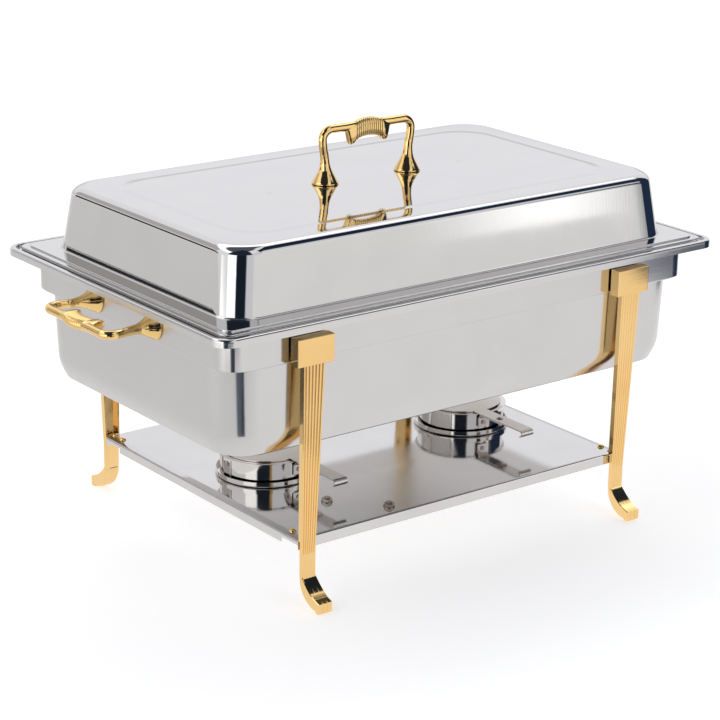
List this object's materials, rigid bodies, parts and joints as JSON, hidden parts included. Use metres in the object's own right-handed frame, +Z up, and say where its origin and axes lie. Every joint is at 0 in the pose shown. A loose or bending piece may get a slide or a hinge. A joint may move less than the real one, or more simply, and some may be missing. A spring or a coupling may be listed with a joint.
{
  "type": "chafing dish",
  "caption": "Full-size rectangular chafing dish: lift-off cover, food pan and water pan in a frame of fluted legs, over a shelf with fuel holders that have swing dampers.",
  "frame": {"origin": "centre of the overall box on the plane that the four feet stand on", "axes": "+X along the dish towards its right end, +Y towards the back, +Z up; the front is -Y"},
  "size_m": [0.6312, 0.371, 0.3746],
  "materials": {
    "gold_leg": "polished gold plating",
    "gold_handle": "polished gold plating",
    "gold_fastener": "polished gold plating",
    "polished_water_pan": "polished stainless steel",
    "satin_food_pan": "satin stainless steel",
    "polished_cover": "mirror-polished stainless steel",
    "polished_shelf": "polished stainless steel",
    "polished_holder": "polished stainless steel",
    "satin_strap": "satin stainless steel",
    "steel_fastener": "bright steel"
  },
  "bodies": {
    "frame": {"leg_back_left": "gold_leg", "leg_back_right": "gold_leg", "leg_cap_back_left": "gold_leg", "leg_cap_back_right": "gold_leg", "leg_cap_front_left": "gold_leg", "leg_cap_front_right": "gold_leg", "leg_front_left": "gold_leg", "leg_front_right": "gold_leg", "shelf": "polished_shelf", "shelf_nuts": "steel_fastener", "shelf_screws": "gold_fastener", "shelf_studs": "steel_fastener", "stud_nuts": "steel_fastener"},
    "water_pan": {"side_handle_left": "gold_handle", "side_handle_right": "gold_handle", "side_handle_screws": "steel_fastener", "side_handle_washers": "steel_fastener", "water_pan": "polished_water_pan"},
    "food_pan": {"food_pan": "satin_food_pan"},
    "lid": {"lid_cover": "polished_cover", "lid_handle": "gold_handle", "lid_handle_screws": "steel_fastener", "lid_handle_washers": "steel_fastener"},
    "fuel_holder_left": {"damper_bracket_left": "satin_strap", "damper_pin_left": "steel_fastener", "fuel_base_left": "polished_holder", "fuel_ring_left": "polished_holder", "fuel_rivets_left": "steel_fastener", "fuel_wall_left": "polished_holder"},
    "fuel_holder_right": {"damper_bracket_right": "satin_strap", "damper_pin_right": "steel_fastener", "fuel_base_right": "polished_holder", "fuel_ring_right": "polished_holder", "fuel_rivets_right": "steel_fastener", "fuel_wall_right": "polished_holder"},
    "damper_left": {"damper_left": "satin_strap"},
    "damper_right": {"damper_right": "satin_strap"}
  },
  "joints": [
    {"name": "water_pan_lift", "type": "slide", "parent": "frame", "child": "water_pan", "axis": [0, 0, 1], "range_m": [0, 0.14]},
    {"name": "food_pan_lift", "type": "slide", "parent": "water_pan", "child": "food_pan", "axis": [0, 0, 1], "range_m": [0, 0.09]},
    {"name": "cover_lift", "type": "slide", "parent": "food_pan", "child": "lid", "axis": [0, 0, 1], "range_m": [0, 0.12]},
    {"name": "fuel_holder_left_lift", "type": "slide", "parent": "frame", "child": "fuel_holder_left", "axis": [0, 0, 1], "range_m": [0, 0.04]},
    {"name": "fuel_holder_right_lift", "type": "slide", "parent": "frame", "child": "fuel_holder_right", "axis": [0, 0, 1], "range_m": [0, 0.04]},
    {"name": "damper_left_swing", "type": "hinge", "parent": "fuel_holder_left", "child": "damper_left", "pos_m": [-0.1091, -0.072, 0.0825], "axis": [0, 0, 1], "range_deg": [-100, 100]},
    {"name": "damper_right_swing", "type": "hinge", "parent": "fuel_holder_right", "child": "damper_right", "pos_m": [0.1091, -0.072, 0.0825], "axis": [0, 0, 1], "range_deg": [-100, 100]}
  ]
}
